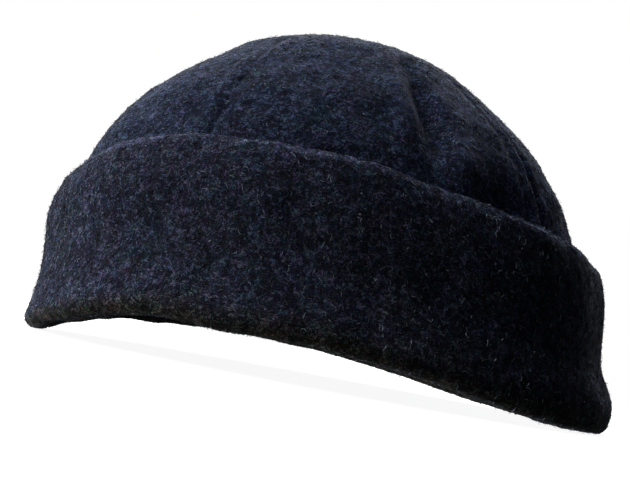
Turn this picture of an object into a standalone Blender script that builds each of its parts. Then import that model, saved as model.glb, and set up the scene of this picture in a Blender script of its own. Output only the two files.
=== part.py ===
"""Felt beanie with a deep turned-up cuff.

The crown is a dome of four sewn gores over an oval head opening. The cuff is one ring of the same
felt: it is joined to the crown's lower edge, goes down, rolls outwards over a soft fold, and stands
up outside the crown as a wide band. All sizes are in metres, the floor is z = 0, +X is the back of
the head and -X the forehead.
"""
import math

import bmesh
import bpy
import numpy as np

# Driving sizes
HEAD_LENGTH = 0.204        # inner oval at the head opening, front to back
HEAD_BREADTH = 0.168       # inner oval, side to side
FELT = 0.003               # thickness of the felt
CROWN_HEIGHT = 0.1409      # floor to the top of the dome
CROWN_LEAN_FRONT = 0.0030  # how far the top of the dome sits towards the front
CROWN_LEAN_SIDE = 0.0095   # and towards the +Y side
LEAN_POWER = 1.4           # 1 leans evenly, more leans most near the top
BACK_TAPER = 0.0008        # the back of the dome falls in by this much half way up
CUFF_HEIGHT_FRONT = 0.0607
CUFF_HEIGHT_SIDE = 0.0615
CUFF_HEIGHT_BACK = 0.0640
CUFF_GAP_FRONT = 0.0032    # air between crown and cuff just above the roll
CUFF_GAP_SIDE = 0.0108
CUFF_GAP_BACK = 0.0124
LEFT_LIFT = 0.0144         # the rim arches up at the -Y side of the head
RIGHT_LIFT = 0.0127        # and at the +Y side
ROLL_RADIUS = 0.0048       # outer radius of the two corners of the roll
JOIN_HEIGHT = 0.0100       # where cuff and crown meet, above the arches of the rim
JOIN_GAP = 0.0003          # clearance between sewn pieces
SEAM_ALLOWANCE = 0.0080    # from a seam to the topstitching that holds its allowances down
SEAM_DEPTH = 0.0007        # how far the felt is pulled in at a seam
TOPSTITCH_DEPTH = 0.0003   # and at a row of topstitching
WELT_HEIGHT = 0.0003       # the felt between them lies on the allowances
SEAM_FADE = 0.75           # this share of the relief is pressed flat at the top of the dome
DENT_DEPTH = 0.0024        # soft dents of the dome
CUFF_WAVE = 0.0011         # waves along the cuff's rim and top edge
TIP_RADIUS = 0.0006        # the gores stop this far from the top's middle

# The rim's arches, in degrees round the oval: where they are highest, and the spans over which they
# come down to the floor again, towards the front and towards the back
RIM_ARCH = {"highest": 108.4, "front span": 66.6, "back span": 90.6}

# The dome's sections: share of its height, share of its half length and half breadth at the opening
CROWN_SECTIONS = [
    # height, width
    (0.00, 1.000),
    (0.15, 1.000),
    (0.40, 0.979),
    (0.55, 0.925),
    (0.70, 0.803),
    (0.84, 0.597),
    (0.95, 0.368),
    (1.00, 0.000),
]

# The air between crown and cuff: share of the cuff's height, shares of the three gaps at the roll
CUFF_SECTIONS = [
    # height, front, side, back
    (0.00, 1.00, 1.00, 1.00),
    (0.12, 0.70, 0.84, 1.18),
    (0.42, 0.39, 0.51, 0.64),
    (0.75, 1.21, 0.71, 0.68),
    (1.00, 0.44, 0.67, 0.57),
]

# Seams between the gores: angle round the oval at the opening, how far it turns towards the top, and
# how strongly it shows
SEAMS = [
    # angle, turn (degrees), share of the relief
    (-118.0, -14.0, 0.7),
    (-39.0, 5.0, 2.2),
    (60.0, 8.0, 1.0),
    (141.0, -8.0, 1.0),
]

# Soft dents of the dome: angle and its half width (degrees), height and its half height (shares of
# the dome's height), and inward depth (share of DENT_DEPTH; a negative one is a bulge)
DENTS = [
    # angle, half width, height, half height, depth
    (-75.5, 3.5, 0.70, 0.12, -0.60),
    (-68.5, 3.5, 0.72, 0.13, 2.60),
    (-62.5, 6.0, 0.57, 0.11, -1.30),
    (-54.0, 7.0, 0.48, 0.08, 1.90),
    (-98.0, 12.0, 0.78, 0.12, 0.20),
    (95.0, 7.0, 0.70, 0.16, 0.70),
    (2.0, 14.0, 0.76, 0.06, -0.70),
]

# Waves of the cuff: angle and its half width (degrees), rise of the rim and of the top edge, and
# lean outwards (shares of CUFF_WAVE)
WAVES = [
    # angle, half width, rim, edge, out
    (-166.0, 10.0, -0.2, -0.7, -0.3),
    (-134.0, 12.0, -1.3, 0.6, 2.0),
    (-105.0, 9.0, -2.0, -0.2, 0.8),
    (-86.0, 6.0, -0.2, 0.3, 0.8),
    (-52.0, 10.0, -0.6, -0.2, 2.4),
    (-20.0, 10.0, 0.3, 0.2, -2.9),
    (8.0, 18.0, -0.5, -2.2, 0.9),
    (75.0, 16.0, 0.4, 0.7, 0.5),
    (125.0, 14.0, 0.4, -0.5, -0.5),
    (150.0, 16.0, 3.4, 0.0, 0.0),
    (168.0, 8.0, 1.6, 0.0, 0.0),
]

# Mesh density
GORE_ROWS = 15
GORE_COLUMNS = 12
CUFF_COLUMNS = 72
CUFF_ROWS = 7
ARC_STEPS = 3

CROWN_COLOUR = (0.018, 0.023, 0.038, 1.0)
CUFF_COLOUR = (0.011, 0.013, 0.020, 1.0)
FELT_ROUGHNESS = 0.95

HALF_LENGTH = HEAD_LENGTH / 2
HALF_BREADTH = HEAD_BREADTH / 2


def smooth_rows(x, rows, column):
    """Read a table's column at x: a monotone cubic through the rows, so sections blend softly."""
    px = np.array([row[0] for row in rows])
    py = np.array([row[column] for row in rows])
    step = np.diff(px)
    slope = np.diff(py) / step
    tangent = np.zeros(len(px))
    same_way = slope[:-1] * slope[1:] > 0
    inner = 2 * slope[:-1] * slope[1:] / np.where(same_way, slope[:-1] + slope[1:], 1)
    tangent[1:-1] = np.where(same_way, inner, 0)
    tangent[0] = slope[0]
    tangent[-1] = slope[-1]
    x = np.clip(x, px[0], px[-1])
    k = np.clip(np.searchsorted(px, x, side="right") - 1, 0, len(px) - 2)
    u = (x - px[k]) / step[k]
    start = py[k] * (1 + 2 * u) * (1 - u) ** 2 + tangent[k] * step[k] * u * (1 - u) ** 2
    end = py[k + 1] * u ** 2 * (3 - 2 * u) + tangent[k + 1] * step[k] * u ** 2 * (u - 1)
    return start + end


def around(angle, front, side, back):
    """A size that is known at the front, the sides and the back, eased round the oval."""
    side_share = np.sin(angle) ** 2
    return side * side_share + np.where(np.cos(angle) > 0, back, front) * (1 - side_share)


def bump(distance, half_width):
    """A soft hump, 1 at distance 0 and nearly 0 at twice the half width."""
    return np.exp(-(distance / half_width) ** 2)


def turn_between(angle, middle):
    """Signed angle from middle, between -pi and pi."""
    return (angle - middle + math.pi) % (2 * math.pi) - math.pi


def outward(angle):
    """Unit vector across the head oval, pointing out of it."""
    n = np.stack([np.cos(angle) * HALF_BREADTH, np.sin(angle) * HALF_LENGTH, np.zeros_like(angle)], -1)
    return n / np.linalg.norm(n, axis=-1, keepdims=True)


def wave(angle, column):
    """The cuff's waves, summed at this angle, in metres."""
    total = np.zeros_like(angle)
    for row in WAVES:
        distance = turn_between(angle, math.radians(row[0]))
        total += CUFF_WAVE * row[column] * bump(distance, math.radians(row[1]))
    return total


def arch_height(angle):
    """Height of the rim's two arches: nothing at the front and the back, most near the sides."""
    past_top = np.degrees(np.abs(turn_between(angle, 0.0))) - RIM_ARCH["highest"]
    span = np.where(past_top > 0, RIM_ARCH["front span"], RIM_ARCH["back span"])
    share = np.clip(np.abs(past_top) / span, 0, 1)
    lift = np.where(turn_between(angle, 0.0) > 0, RIGHT_LIFT, LEFT_LIFT)
    return lift * (1 + np.cos(math.pi * share)) / 2


def rim_height(angle):
    """Height of the roll's underside: the arches with the cuff's waves, and never under the floor."""
    return np.maximum(arch_height(angle) + wave(angle, 2), 0)


def join_height(angle):
    """Height of the line where crown and cuff meet inside: it follows the arches alone."""
    return arch_height(angle) + JOIN_HEIGHT


def dome(angle, height):
    """The crown's plain outer face, before seams and dents, at an angle and a height."""
    share = np.clip(height / CROWN_HEIGHT, 0, 1)
    sections = [(math.asin(row[0]), row[1]) for row in CROWN_SECTIONS]
    width = smooth_rows(np.arcsin(share), sections, 1)
    lean = share ** LEAN_POWER
    fall_in = BACK_TAPER * np.sin(math.pi * share) ** 2 * (1 + np.cos(angle)) / 2
    x = (HALF_LENGTH + FELT) * width * np.cos(angle) - CROWN_LEAN_FRONT * lean - fall_in
    y = (HALF_BREADTH + FELT) * width * np.sin(angle) + CROWN_LEAN_SIDE * lean
    return np.stack([x, y, height + 0 * angle], -1)


def dent_depth(angle, share):
    """How far the dome is pushed in at an angle and a share of its height."""
    depth = np.zeros_like(angle)
    for row in DENTS:
        distance = turn_between(angle, math.radians(row[0]))
        depth += DENT_DEPTH * row[4] * bump(distance, math.radians(row[1])) * bump(share - row[2], row[3])
    return depth


def seam_relief(distance, topstitched):
    """Pull-in beside a seam: a groove at it, and on one side topstitching, with a welt between."""
    groove = SEAM_DEPTH * bump(distance, 0.22 * SEAM_ALLOWANCE)
    stitch = TOPSTITCH_DEPTH * bump(distance - SEAM_ALLOWANCE, 0.17 * SEAM_ALLOWANCE)
    welt = WELT_HEIGHT * bump(distance - 0.45 * SEAM_ALLOWANCE, 0.28 * SEAM_ALLOWANCE)
    return groove + (stitch - welt) * topstitched


def surface_normals(points):
    """Unit normals of a grid of points, outwards for rows going up and columns going round."""
    along_row = np.gradient(points, axis=1)
    along_column = np.gradient(points, axis=0)
    n = np.cross(along_row, along_column)
    return n / np.linalg.norm(n, axis=-1, keepdims=True)


def seam_angle(seam, share):
    """Angle of a seam at a share of the dome's height: it turns more and more towards the top."""
    angle, turn, _ = seam
    return np.radians(angle) + np.radians(turn) * np.clip((share - 0.5) / 0.5, 0, 1) ** 2


def gore_grid(first_seam, second_seam):
    """Outer and inner faces of one gore, as grids of rows from its lower edge to its tip."""
    edge = np.array([0, 0.28, 0.55, 1.0, 1.4]) * SEAM_ALLOWANCE
    rise = np.linspace(0, 1, GORE_ROWS + 1)[:, None]

    def heights(angle, top):
        lower = join_height(angle) + JOIN_GAP
        foot = np.arcsin(lower / CROWN_HEIGHT)
        return CROWN_HEIGHT * np.sin(foot + (top - foot) * rise)

    # the dome's top is round: its width falls in step with the last bit of angle
    last_height, last_width = CROWN_SECTIONS[-2]
    last_angle = math.pi / 2 - math.asin(last_height)
    top = math.pi / 2 - last_angle * TIP_RADIUS / (last_width * HALF_LENGTH)
    share = np.sin(top * rise)
    start = seam_angle(first_seam, share)
    end = seam_angle(second_seam, share)
    end = np.where(end < start, end + 2 * math.pi, end)
    width = (end - start) * smooth_rows(share, CROWN_SECTIONS, 1) * (HALF_LENGTH + HALF_BREADTH) / 2
    room = np.maximum(width, 2.6 * edge[-1])
    near = edge / room
    inner = near[:, -1:] + (1 - 2 * near[:, -1:]) * np.linspace(0, 1, GORE_COLUMNS + 1)[1:-1]
    across = np.hstack([near, inner, 1 - near[:, ::-1]])
    clear = JOIN_GAP / 2 / np.maximum(width, TIP_RADIUS)
    clear = np.minimum(clear, 0.2)
    angle = start + (end - start) * (clear + (1 - 2 * clear) * across)
    plain = dome(angle, heights(angle, top))
    normal = surface_normals(plain)
    share = plain[..., 2] / CROWN_HEIGHT
    dents = dent_depth(angle, share)
    first = seam_relief(edge, 0) * first_seam[2]
    second = seam_relief(edge, 1)[::-1] * second_seam[2]
    relief = np.hstack([first, np.zeros(GORE_COLUMNS - 1), second])
    relief = relief * np.minimum(width / room, 1) * (1 - SEAM_FADE * share ** 3)
    outer = plain - normal * (dents + relief)[..., None]
    inner_face = plain - normal * (dents + FELT)[..., None]
    return outer, inner_face


def cuff_section(angle):
    """The cuff's wall cut across at one angle: a closed loop of points, round the felt once."""
    rim = float(rim_height(np.array(angle)))
    gap = around(angle, CUFF_GAP_FRONT, CUFF_GAP_SIDE, CUFF_GAP_BACK)
    gap_column = [(row[0], float(around(angle, row[1], row[2], row[3]))) for row in CUFF_SECTIONS]
    height = float(around(angle, CUFF_HEIGHT_FRONT, CUFF_HEIGHT_SIDE, CUFF_HEIGHT_BACK))
    height += float(wave(np.array(angle), 3)) - float(wave(np.array(angle), 2))
    lean = float(wave(np.array(angle), 4))
    half = FELT / 2
    corner = min(ROLL_RADIUS, 0.45 * (2 * FELT + gap)) - half
    arc = np.linspace(0, math.pi / 2, ARC_STEPS + 1)

    # middle of the felt, from the crown's seam down, round the roll and up the outside
    inner_x = half + corner * (1 - np.cos(arc))
    inner_z = half + corner * (1 - np.sin(arc))
    outer_x = half + FELT + gap - corner * (1 - np.sin(arc))
    outer_z = half + corner * (1 - np.cos(arc))
    first = (half + corner) / height
    share = np.linspace(first, 1 - half / height, CUFF_ROWS + 1)[1:]
    crown_x = dome(np.array(angle), rim + share * height)
    base_x = dome(np.array(angle), np.array(rim))
    away = outward(np.array(angle))
    fall = (crown_x - base_x) @ away
    leg_x = half + FELT + gap * smooth_rows(share, gap_column, 1) + fall + lean * share
    x = np.concatenate([[half], inner_x, outer_x, leg_x])
    join = float(join_height(np.array(angle))) - rim
    z = np.concatenate([[join], inner_z, outer_z, share * height])

    # both faces, half a thickness to each side of the middle, and a round top edge
    dx = np.gradient(x)
    dz = np.gradient(z)
    dx[0] = 0
    run = np.hypot(dx, dz)
    side_x = -dz / run * half
    side_z = dx / run * half
    tip = np.arctan2(dz[-1], dx[-1]) + np.radians([60, 20, -20, -60])
    loop_x = np.concatenate([x + side_x, x[-1] + half * np.cos(tip), (x - side_x)[::-1]])
    loop_z = np.concatenate([z + side_z, z[-1] + half * np.sin(tip), (z - side_z)[::-1]])
    oval = np.array([HALF_LENGTH * math.cos(angle), HALF_BREADTH * math.sin(angle), rim])
    return oval + loop_x[:, None] * away + loop_z[:, None] * np.array([0, 0, 1])


def closed_mesh(name, vertices, faces):
    """A mesh from points and faces, with its faces turned out and shaded smooth."""
    mesh = bpy.data.meshes.new(name)
    mesh.from_pydata([tuple(v) for v in vertices], [], faces)
    shape = bmesh.new()
    shape.from_mesh(mesh)
    bmesh.ops.recalc_face_normals(shape, faces=shape.faces)
    shape.to_mesh(mesh)
    shape.free()
    mesh.shade_smooth()
    mesh.set_sharp_from_angle(angle=math.radians(50))
    return mesh


def gore_mesh(name, outer, inner):
    """Close a gore: outer face, inner face, and a wall all round between their borders."""
    rows, columns = outer.shape[:2]
    index = np.arange(rows * columns).reshape(rows, columns)
    quads = np.stack([index[:-1, :-1], index[:-1, 1:], index[1:, 1:], index[1:, :-1]], -1).reshape(-1, 4)
    border = np.concatenate([index[0, :-1], index[:-1, -1], index[-1, :0:-1], index[:0:-1, 0]])
    following = np.roll(border, -1)
    wall = np.stack([following, border, border + index.size, following + index.size], -1)
    faces = np.concatenate([quads, quads[:, ::-1] + index.size, wall])
    vertices = np.concatenate([outer.reshape(-1, 3), inner.reshape(-1, 3)])
    return closed_mesh(name, vertices, faces.tolist())


def ring_mesh(name, sections):
    """Carry a closed section round a closed path, one section after the other."""
    count, points = sections.shape[:2]
    index = np.arange(count * points).reshape(count, points)
    ahead = np.roll(index, -1, axis=0)
    faces = np.stack([index, ahead, np.roll(ahead, -1, axis=1), np.roll(index, -1, axis=1)], -1)
    return closed_mesh(name, sections.reshape(-1, 3), faces.reshape(-1, 4).tolist())


def felt_material(name, colour):
    """Matt wool felt."""
    material = bpy.data.materials.new(name)
    material.use_nodes = True
    shader = material.node_tree.nodes["Principled BSDF"]
    shader.inputs["Base Color"].default_value = colour
    shader.inputs["Roughness"].default_value = FELT_ROUGHNESS
    shader.inputs["Metallic"].default_value = 0.0
    material.diffuse_color = colour
    return material


def add_piece(mesh, material, parent):
    """Link a piece to the scene under the hat's empty."""
    piece = bpy.data.objects.new(mesh.name, mesh)
    mesh.materials.append(material)
    piece.parent = parent
    bpy.context.scene.collection.objects.link(piece)
    return piece


def build():
    """Clear the scene and make the hat, its box centred over the origin and its rim on the floor."""
    for thing in list(bpy.data.objects):
        bpy.data.objects.remove(thing, do_unlink=True)
    hat = bpy.data.objects.new("beanie", None)
    bpy.context.scene.collection.objects.link(hat)

    angles = np.linspace(0, 2 * math.pi, CUFF_COLUMNS, endpoint=False)
    sections = np.array([cuff_section(angle) for angle in angles])
    low, high = sections.min(axis=(0, 1)), sections.max(axis=(0, 1))
    hat.location = (-(low[0] + high[0]) / 2, -(low[1] + high[1]) / 2, 0)
    add_piece(ring_mesh("cuff", sections), felt_material("cuff_felt", CUFF_COLOUR), hat)

    for number, seam in enumerate(SEAMS, start=1):
        outer, inner = gore_grid(seam, SEAMS[number % len(SEAMS)])
        name = f"crown_panel_{number}"
        add_piece(gore_mesh(name, outer, inner), felt_material(f"{name}_felt", CROWN_COLOUR), hat)


build()
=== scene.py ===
# %% [markdown]
# # A felt cap with a turned-up cuff
# The cap is four sewn gores of thick wool felt, and one ring of the same felt that is turned up into
# a deep cuff. Its plain solids were made first, and they are loaded here as a fixed frame. This lesson
# puts finer felt in their place: the same shapes on a closer grid, a mottled finish, and loose wool
# fibres that lie on the surface and blur the outline.

# %% Load the frame
import math

import bpy
import numpy as np
from mathutils import Matrix, Vector


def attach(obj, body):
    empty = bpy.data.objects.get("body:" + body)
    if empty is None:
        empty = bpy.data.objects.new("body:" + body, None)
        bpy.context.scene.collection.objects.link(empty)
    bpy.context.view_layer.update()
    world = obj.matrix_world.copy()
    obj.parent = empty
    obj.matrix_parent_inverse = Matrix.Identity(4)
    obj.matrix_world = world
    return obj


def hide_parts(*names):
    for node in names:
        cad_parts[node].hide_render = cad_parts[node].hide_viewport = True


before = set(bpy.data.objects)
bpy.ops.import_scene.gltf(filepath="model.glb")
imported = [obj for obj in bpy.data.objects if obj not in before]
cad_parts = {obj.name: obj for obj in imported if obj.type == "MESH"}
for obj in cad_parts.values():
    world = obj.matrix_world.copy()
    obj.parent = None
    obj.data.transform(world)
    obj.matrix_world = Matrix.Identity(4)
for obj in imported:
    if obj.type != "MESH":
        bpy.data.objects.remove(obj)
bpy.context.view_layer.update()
print("solids:", sorted(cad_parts))


# %% Objects
def place_object(name, data):
    """A new object of this name for a mesh, a lamp or a camera, put in the scene."""
    made = bpy.data.objects.new(name, data)
    bpy.context.scene.collection.objects.link(made)
    return made


# %% [markdown]
# ## The camera
# The picture was taken from close by, a little above the table and looking slightly up, with the
# camera tilted. A camera is three directions and a place: where it looks, what is to its right, and
# what is above it. Tilting turns the last two about the first.

# %% Camera
HEAD_MIDDLE = Vector((-0.004963, -0.000018, 0.0))  # the middle of the head opening, in the frame
PICTURE_WIDTH = 630     # pixels
FOCAL_PIXELS = 984.0    # the focal length, counted in the picture's pixels
YAW, PITCH, ROLL = (math.radians(a) for a in (-0.461, 6.255, 10.621))
CAMERA_PLACE = Vector((-0.00181, -0.400, 0.0122))   # from the middle of the head opening

looks = Vector((math.sin(YAW) * math.cos(PITCH), math.cos(YAW) * math.cos(PITCH), math.sin(PITCH)))
level_right = Vector((math.cos(YAW), -math.sin(YAW), 0))
level_up = level_right.cross(looks)
right = math.cos(ROLL) * level_right + math.sin(ROLL) * level_up
up = math.cos(ROLL) * level_up - math.sin(ROLL) * level_right
lens = bpy.data.cameras.new("camera")
lens.lens = FOCAL_PIXELS / PICTURE_WIDTH * lens.sensor_width
lens.clip_start = 0.01
camera = place_object("camera", lens)
camera.matrix_world = Matrix((right, up, -looks)).transposed().to_4x4()
camera.location = HEAD_MIDDLE + CAMERA_PLACE
bpy.context.scene.camera = camera
print("lens of", round(lens.lens, 1), "mm, camera at", [round(v, 3) for v in camera.location])

# %% [markdown]
# ## Floor, backdrop and light
# Dark felt shows its form only by soft light that comes from one side. Big far lamps do this: each is
# a sun whose disc is wide, so its shadows are soft. A table names them, because the light is tuned
# there. Two of them shine from below, in place of the light that a white table throws back. The
# backdrop is plain white to the eye and gives little light, so the felt stays dark.

# %% Stage
LAMPS = {
    # name: (degrees round from the camera's side to the right, degrees up, disc width, strength)
    "key": (-80.0, 45.0, 45.0, 1.06),
    "left": (-95.0, 32.0, 45.0, 0.33),
    "back left": (-160.0, 32.0, 45.0, 0.82),
    "back": (180.0, 45.0, 45.0, 3.20),
    "low right": (140.0, 8.0, 45.0, 0.31),
    "right": (115.0, 20.0, 45.0, 0.05),
    "table's bounce": (-100.0, -13.0, 45.0, 1.30),
    "low front": (-60.0, -25.0, 45.0, 0.32),
}
AMBIENT, AMBIENT_TINT = 0.012, (0.9, 0.95, 1.0, 1.0)
FLOOR_HALF = 6.0
FLOOR_SURFACE = {"Base Color": (0.5, 0.5, 0.5, 1.0), "Roughness": 0.7, "Specular IOR Level": 0.1,
                 "Emission Color": (1.0, 1.0, 1.0, 1.0), "Emission Strength": 0.93}


def add_lamp(name, round_right, height, disc, strength):
    """A sun that shines towards the cap from a direction round the camera's side and up."""
    turned, raised = math.radians(round_right), math.radians(height)
    towards = Vector((math.sin(turned) * math.cos(raised), -math.cos(turned) * math.cos(raised),
                      math.sin(raised)))
    lamp = bpy.data.lights.new(name, "SUN")
    lamp.energy = strength
    lamp.angle = math.radians(disc)
    place_object(name, lamp).rotation_euler = towards.to_track_quat("Z", "Y").to_euler()


def add_node(tree, kind, inputs=None, **settings):
    """A shader node with its settings, its inputs linked to sockets or set to values."""
    made = tree.nodes.new(kind)
    for key, value in settings.items():
        setattr(made, key, value)
    for key, value in (inputs or {}).items():
        if isinstance(value, bpy.types.NodeSocket):
            tree.links.new(value, made.inputs[key])
        else:
            made.inputs[key].default_value = value
    return made


def new_material(name, surface):
    """A material whose shader's inputs are set: gives the material, its node tree and the shader."""
    material = bpy.data.materials.new(name)
    material.use_nodes = True
    shader = material.node_tree.nodes["Principled BSDF"]
    for socket, value in surface.items():
        shader.inputs[socket].default_value = value
    return material, material.node_tree, shader


for name, row in LAMPS.items():
    add_lamp(name, *row)

world = bpy.data.worlds.new("white_studio")
world.use_nodes = True
bpy.context.scene.world = world
sky = world.node_tree
dim = sky.nodes["Background"]
dim.inputs["Color"].default_value = AMBIENT_TINT
dim.inputs["Strength"].default_value = AMBIENT
seen = add_node(sky, "ShaderNodeBackground", {"Color": (1.0, 1.0, 1.0, 1.0), "Strength": 1.0})
straight = add_node(sky, "ShaderNodeLightPath")
either = add_node(sky, "ShaderNodeMixShader", {0: straight.outputs["Is Camera Ray"],
                                               1: dim.outputs[0], 2: seen.outputs[0]})
sky.links.new(either.outputs[0], sky.nodes["World Output"].inputs["Surface"])

plane = bpy.data.meshes.new("floor")
corners = [(x * FLOOR_HALF, y * FLOOR_HALF, 0) for x, y in ((-1, -1), (1, -1), (1, 1), (-1, 1))]
plane.from_pydata(corners, [], [(0, 1, 2, 3)])
plane.materials.append(new_material("pale_floor", FLOOR_SURFACE)[0])
floor = place_object("floor", plane)
floor.visible_diffuse = False
floor.visible_glossy = False
floor.visible_shadow = False
bpy.context.scene.view_settings.view_transform = "Standard"
print("lamps:", len(LAMPS), "and a floor of", 2 * FLOOR_HALF, "m")

# %% [markdown]
# ## The cap's sizes
# These are the sizes that the solids were made from, in metres, with +X at the back of the head and
# -X at the forehead. Only the gaps between the gores and at their tips are finer here. The tables say
# how the dome narrows, how far the cuff stands off it, where the seams run, and where the felt is
# dented or waves.

# %% Sizes and tables
HEAD_LENGTH = 0.204        # inner oval at the head opening, front to back
HEAD_BREADTH = 0.168       # inner oval, side to side
FELT = 0.003               # thickness of the felt
CROWN_HEIGHT = 0.1409      # floor to the top of the dome
CROWN_LEAN_FRONT = 0.0030  # how far the top of the dome sits towards the front
CROWN_LEAN_SIDE = 0.0095   # and towards the +Y side
LEAN_POWER = 1.4           # 1 leans evenly, more leans most near the top
BACK_TAPER = 0.0008        # the back of the dome falls in by this much half way up
CUFF_HEIGHT = (0.0607, 0.0615, 0.0640)   # at the front, the sides and the back
CUFF_GAP = (0.0032, 0.0108, 0.0124)      # air between crown and cuff just above the roll
LEFT_LIFT = 0.0144         # the rim arches up at the -Y side of the head
RIGHT_LIFT = 0.0127        # and at the +Y side
ROLL_RADIUS = 0.0048       # outer radius of the two corners of the roll
JOIN_HEIGHT = 0.0100       # where cuff and crown meet, above the arches of the rim
JOIN_GAP = 0.0003          # clearance between cuff and crown
SEAM_ALLOWANCE = 0.0080    # from a seam to the topstitching that holds its allowances down
SEAM_DEPTH = 0.0007        # how far the felt is pulled in at a seam
TOPSTITCH_DEPTH = 0.0003   # and at a row of topstitching
WELT_HEIGHT = 0.0003       # the felt between them lies on the allowances
GROOVE_SPREAD = 0.22 * SEAM_ALLOWANCE   # half width of the pulled-in line at a seam
STITCH_SPREAD = 0.17 * SEAM_ALLOWANCE   # and of the one at the topstitching
WELT_PLACE = 0.45 * SEAM_ALLOWANCE      # from the seam to where the felt stands highest
WELT_SPREAD = 0.28 * SEAM_ALLOWANCE     # half width of that rise
SEAM_FADE = 0.75           # this share of the relief is pressed flat at the top of the dome
DENT_DEPTH = 0.0024        # soft dents of the dome
CUFF_WAVE = 0.0011         # waves along the cuff's rim and top edge
SEAM_GAP = 0.00002         # between two gores, which are sewn so close that no light comes through
TIP_RADIUS = 0.00002       # the gores stop this far from the top's middle
HALF_LENGTH = HEAD_LENGTH / 2
HALF_BREADTH = HEAD_BREADTH / 2

RIM_ARCH = {"highest": 108.4, "front span": 66.6, "back span": 90.6}   # degrees round the oval

CROWN_SECTIONS = np.array([
    # height, width: shares of the dome's height and of its half length and breadth
    (0.00, 1.000), (0.15, 1.000), (0.40, 0.979), (0.55, 0.925),
    (0.70, 0.803), (0.84, 0.597), (0.95, 0.368), (1.00, 0.000),
])

CUFF_SECTIONS = np.array([
    # height, front, side, back: shares of the cuff's height and of its three gaps
    (0.00, 1.00, 1.00, 1.00),
    (0.12, 0.70, 0.84, 1.18),
    (0.42, 0.39, 0.51, 0.64),
    (0.75, 1.21, 0.71, 0.68),
    (1.00, 0.44, 0.67, 0.57),
])

SEAMS = [
    # angle round the oval at the opening, turn towards the top (degrees), share of the relief
    (-118.0, -14.0, 0.7),
    (-39.0, 5.0, 2.2),
    (60.0, 8.0, 1.0),
    (141.0, -8.0, 1.0),
]

DENTS = [
    # angle, half width (degrees), height, half height, depth (a negative one is a bulge)
    (-75.5, 3.5, 0.70, 0.12, -0.60),
    (-68.5, 3.5, 0.72, 0.13, 2.60),
    (-62.5, 6.0, 0.57, 0.11, -1.30),
    (-54.0, 7.0, 0.48, 0.08, 1.90),
    (-98.0, 12.0, 0.78, 0.12, 0.20),
    (95.0, 7.0, 0.70, 0.16, 0.70),
    (2.0, 14.0, 0.76, 0.06, -0.70),
]

WAVES = [
    # angle, half width (degrees), rise of the rim, rise of the edge, lean outwards
    (-166.0, 10.0, -0.2, -0.7, -0.3),
    (-134.0, 12.0, -1.3, 0.6, 2.0),
    (-105.0, 9.0, -2.0, -0.2, 0.8),
    (-86.0, 6.0, -0.2, 0.3, 0.8),
    (-52.0, 10.0, -0.6, -0.2, 2.4),
    (-20.0, 10.0, 0.3, 0.2, -2.9),
    (8.0, 18.0, -0.5, -2.2, 0.9),
    (75.0, 16.0, 0.4, 0.7, 0.5),
    (125.0, 14.0, 0.4, -0.5, -0.5),
    (150.0, 16.0, 3.4, 0.0, 0.0),
    (168.0, 8.0, 1.6, 0.0, 0.0),
]
RIM, EDGE, LEAN = 2, 3, 4   # columns of WAVES
print("head opening", 1000 * HEAD_LENGTH, "x", 1000 * HEAD_BREADTH, "mm,", len(SEAMS), "seams")

# %% [markdown]
# ## Reading the tables softly
# Cloth never bends along straight pieces, so a table is read as a curve. A monotone cubic goes through
# every row and doesn't swing past it, which keeps a flat stretch flat. A dent or a wave is a soft hump
# of its distance from its middle.


# %% Soft curves
def smooth_rows(x, heights, values):
    """Monotone cubic through the rows: at each row its slope is the harmonic mean of both sides'.

    x is a grid of rows and columns. values has one column, or one for each column of x."""
    values = values.reshape(len(values), -1)
    step = np.diff(heights)
    slope = np.diff(values, axis=0) / step[:, None]
    product = slope[:-1] * slope[1:]
    total = np.where(product > 0, slope[:-1] + slope[1:], 1)
    inside = np.where(product > 0, 2 * product / total, 0)
    tangent = np.concatenate([slope[:1], inside, slope[-1:]])
    x = np.clip(x, heights[0], heights[-1])
    row = np.clip(np.searchsorted(heights, x, side="right") - 1, 0, len(step) - 1)
    u = (x - heights[row]) / step[row]

    def at(table, index):
        return np.take_along_axis(np.broadcast_to(table, (len(table), x.shape[1])), index, 0)

    rise = at(values, row) * (1 + 2 * u) * (1 - u) ** 2 + at(tangent, row) * step[row] * u * (1 - u) ** 2
    fall = at(values, row + 1) * u ** 2 * (3 - 2 * u)
    return rise + fall + at(tangent, row + 1) * step[row] * u ** 2 * (u - 1)


def around(angle, front, side, back):
    """A size known at the front, sides and back: the side's share is the angle's squared sine."""
    side_share = np.sin(angle) ** 2
    return side * side_share + np.where(np.cos(angle) > 0, back, front) * (1 - side_share)


def bump(distance, half_width):
    """A soft hump: the exponential of minus the squared share of the half width."""
    return np.exp(-(distance / half_width) ** 2)


def turn_between(angle, middle):
    """The signed angle from middle, between minus pi and pi."""
    return (angle - middle + math.pi) % (2 * math.pi) - math.pi


def outward(angle):
    """Unit vectors that point straight out of the head oval."""
    n = np.stack([np.cos(angle) * HALF_BREADTH, np.sin(angle) * HALF_LENGTH, 0 * angle], -1)
    return n / np.linalg.norm(n, axis=-1, keepdims=True)


def grid_normals(points):
    """Unit normals of a grid: the cross product of its two directions."""
    n = np.cross(np.gradient(points, axis=1), np.gradient(points, axis=0))
    return n / np.linalg.norm(n, axis=-1, keepdims=True)


print("middle of the dome is", round(float(smooth_rows(np.array([[0.5]]), *CROWN_SECTIONS.T)[0, 0]), 3),
      "of its opening's width")

# %% [markdown]
# ## Uneven felt
# Felt is pressed from loose wool, so it is never quite flat. A sum of many weak sine waves, each in
# its own direction, gives soft lumps with no seam anywhere, because it depends on the place alone.


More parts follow.
